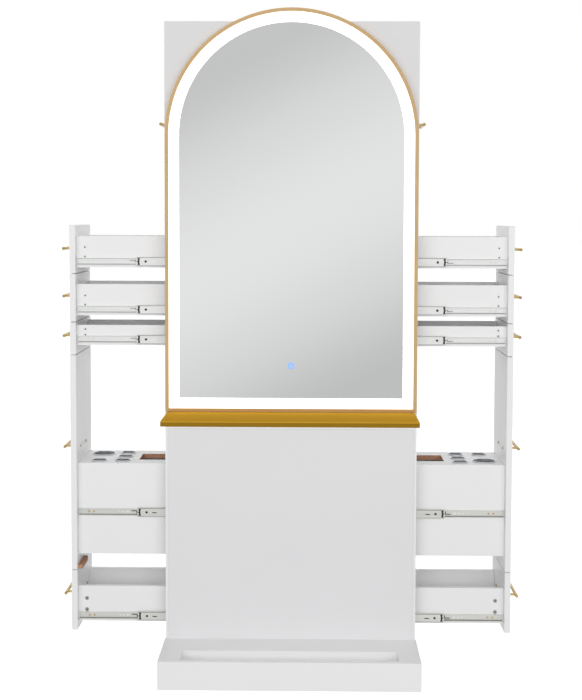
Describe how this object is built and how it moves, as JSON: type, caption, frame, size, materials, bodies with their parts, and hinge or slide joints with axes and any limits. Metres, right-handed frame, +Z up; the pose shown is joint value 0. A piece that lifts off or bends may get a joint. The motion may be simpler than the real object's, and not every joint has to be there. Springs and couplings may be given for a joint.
{
  "type": "salon styling station",
  "caption": "Tall white styling station with an arched lit mirror, a gold shelf, a footrest plinth, and side drawers and cabinets that open left and right.",
  "frame": {"origin": "on the floor, under the middle of the footprint with the drawers out as drawn", "axes": "+Z up, +Y from the mirror side to the wall side, +X to the right of a client who faces the mirror"},
  "size_m": [1.408, 0.5, 1.985],
  "materials": {
    "white_board": "satin white laminate",
    "facing_board": "satin pale grey laminate",
    "gold_shelf": "gold faced board, satin; the core is assumed to be wood",
    "mirror_gold": "brushed gold anodised",
    "mirror": "silvered glass",
    "lit_diffuser": "frosted, lit white",
    "touch_blue": "lit blue",
    "slide_steel": "zinc plated",
    "brass": "polished gold",
    "chrome": "polished",
    "black_plastic": "matt"
  },
  "bodies": {
    "root": {"front_board": "facing_board", "apron_panel": "facing_board", "carcass": "white_board", "back_panel": "white_board", "adjustable_shelves": "white_board", "plinth": "white_board", "styling_shelf": "gold_shelf", "mirror_frame": "mirror_gold", "mirror_glass": "mirror", "led_light_band": "lit_diffuser", "touch_switch": "touch_blue", "cabinet_rails": "slide_steel", "door_hinges": "brass", "power_supply": "black_plastic"},
    "left_bottom_drawer": {"left_bottom_drawer": "white_board", "left_bottom_handle": "brass", "left_bottom_runners": "slide_steel"},
    "left_bottom_middles": {"left_bottom_slide_middles": "slide_steel"},
    "left_tool_drawer": {"left_tool_drawer": "white_board", "left_tool_handle": "brass", "left_tool_runners": "slide_steel", "left_tool_rings": "chrome"},
    "left_tool_middles": {"left_tool_slide_middles": "slide_steel"},
    "left_third_drawer": {"left_third_drawer": "white_board", "left_third_handle": "brass", "left_third_runners": "slide_steel"},
    "left_third_middles": {"left_third_slide_middles": "slide_steel"},
    "left_second_drawer": {"left_second_drawer": "white_board", "left_second_handle": "brass", "left_second_runners": "slide_steel"},
    "left_second_middles": {"left_second_slide_middles": "slide_steel"},
    "left_top_drawer": {"left_top_drawer": "white_board", "left_top_handle": "brass", "left_top_runners": "slide_steel"},
    "left_top_middles": {"left_top_slide_middles": "slide_steel"},
    "left_door": {"left_door": "white_board", "left_door_fittings": "brass"},
    "right_bottom_drawer": {"right_bottom_drawer": "white_board", "right_bottom_handle": "brass", "right_bottom_runners": "slide_steel"},
    "right_bottom_middles": {"right_bottom_slide_middles": "slide_steel"},
    "right_tool_drawer": {"right_tool_drawer": "white_board", "right_tool_handle": "brass", "right_tool_runners": "slide_steel", "right_tool_rings": "chrome"},
    "right_tool_middles": {"right_tool_slide_middles": "slide_steel"},
    "right_third_drawer": {"right_third_drawer": "white_board", "right_third_handle": "brass", "right_third_runners": "slide_steel"},
    "right_third_middles": {"right_third_slide_middles": "slide_steel"},
    "right_second_drawer": {"right_second_drawer": "white_board", "right_second_handle": "brass", "right_second_runners": "slide_steel"},
    "right_second_middles": {"right_second_slide_middles": "slide_steel"},
    "right_top_drawer": {"right_top_drawer": "white_board", "right_top_handle": "brass", "right_top_runners": "slide_steel"},
    "right_top_middles": {"right_top_slide_middles": "slide_steel"},
    "right_door": {"right_door": "white_board", "right_door_fittings": "brass"}
  },
  "joints": [
    {"name": "left_bottom_slide", "type": "slide", "parent": "root", "child": "left_bottom_drawer", "axis": [-1, 0, 0], "range_m": [-0.292, 0.058]},
    {"name": "left_bottom_middle_slide", "type": "slide", "parent": "root", "child": "left_bottom_middles", "axis": [-1, 0, 0], "range_m": [-0.117, 0.0235]},
    {"name": "left_tool_slide", "type": "slide", "parent": "root", "child": "left_tool_drawer", "axis": [-1, 0, 0], "range_m": [-0.292, 0.058]},
    {"name": "left_tool_middle_slide", "type": "slide", "parent": "root", "child": "left_tool_middles", "axis": [-1, 0, 0], "range_m": [-0.117, 0.0235]},
    {"name": "left_third_slide", "type": "slide", "parent": "root", "child": "left_third_drawer", "axis": [-1, 0, 0], "range_m": [-0.292, 0.058]},
    {"name": "left_third_middle_slide", "type": "slide", "parent": "root", "child": "left_third_middles", "axis": [-1, 0, 0], "range_m": [-0.117, 0.0235]},
    {"name": "left_second_slide", "type": "slide", "parent": "root", "child": "left_second_drawer", "axis": [-1, 0, 0], "range_m": [-0.292, 0.058]},
    {"name": "left_second_middle_slide", "type": "slide", "parent": "root", "child": "left_second_middles", "axis": [-1, 0, 0], "range_m": [-0.117, 0.0235]},
    {"name": "left_top_slide", "type": "slide", "parent": "root", "child": "left_top_drawer", "axis": [-1, 0, 0], "range_m": [-0.292, 0.058]},
    {"name": "left_top_middle_slide", "type": "slide", "parent": "root", "child": "left_top_middles", "axis": [-1, 0, 0], "range_m": [-0.117, 0.0235]},
    {"name": "left_door_hinge", "type": "hinge", "parent": "root", "child": "left_door", "pos_m": [-0.3772, -0.019, 1.65], "axis": [0, 0, 1], "range_deg": [0, 90]},
    {"name": "right_bottom_slide", "type": "slide", "parent": "root", "child": "right_bottom_drawer", "axis": [1, 0, 0], "range_m": [-0.292, 0.058]},
    {"name": "right_bottom_middle_slide", "type": "slide", "parent": "root", "child": "right_bottom_middles", "axis": [1, 0, 0], "range_m": [-0.117, 0.0235]},
    {"name": "right_tool_slide", "type": "slide", "parent": "root", "child": "right_tool_drawer", "axis": [1, 0, 0], "range_m": [-0.292, 0.058]},
    {"name": "right_tool_middle_slide", "type": "slide", "parent": "root", "child": "right_tool_middles", "axis": [1, 0, 0], "range_m": [-0.117, 0.0235]},
    {"name": "right_third_slide", "type": "slide", "parent": "root", "child": "right_third_drawer", "axis": [1, 0, 0], "range_m": [-0.292, 0.058]},
    {"name": "right_third_middle_slide", "type": "slide", "parent": "root", "child": "right_third_middles", "axis": [1, 0, 0], "range_m": [-0.117, 0.0235]},
    {"name": "right_second_slide", "type": "slide", "parent": "root", "child": "right_second_drawer", "axis": [1, 0, 0], "range_m": [-0.292, 0.058]},
    {"name": "right_second_middle_slide", "type": "slide", "parent": "root", "child": "right_second_middles", "axis": [1, 0, 0], "range_m": [-0.117, 0.0235]},
    {"name": "right_top_slide", "type": "slide", "parent": "root", "child": "right_top_drawer", "axis": [1, 0, 0], "range_m": [-0.292, 0.058]},
    {"name": "right_top_middle_slide", "type": "slide", "parent": "root", "child": "right_top_middles", "axis": [1, 0, 0], "range_m": [-0.117, 0.0235]},
    {"name": "right_door_hinge", "type": "hinge", "parent": "root", "child": "right_door", "pos_m": [0.3772, -0.019, 1.65], "axis": [0, 0, -1], "range_deg": [0, 90]}
  ],
  "couplings": [
    {"joint": "left_bottom_middle_slide", "follows": "left_bottom_slide", "ratio": 0.4},
    {"joint": "left_tool_middle_slide", "follows": "left_tool_slide", "ratio": 0.4},
    {"joint": "left_third_middle_slide", "follows": "left_third_slide", "ratio": 0.4},
    {"joint": "left_second_middle_slide", "follows": "left_second_slide", "ratio": 0.4},
    {"joint": "left_top_middle_slide", "follows": "left_top_slide", "ratio": 0.4},
    {"joint": "right_bottom_middle_slide", "follows": "right_bottom_slide", "ratio": 0.4},
    {"joint": "right_tool_middle_slide", "follows": "right_tool_slide", "ratio": 0.4},
    {"joint": "right_third_middle_slide", "follows": "right_third_slide", "ratio": 0.4},
    {"joint": "right_second_middle_slide", "follows": "right_second_slide", "ratio": 0.4},
    {"joint": "right_top_middle_slide", "follows": "right_top_slide", "ratio": 0.4}
  ]
}
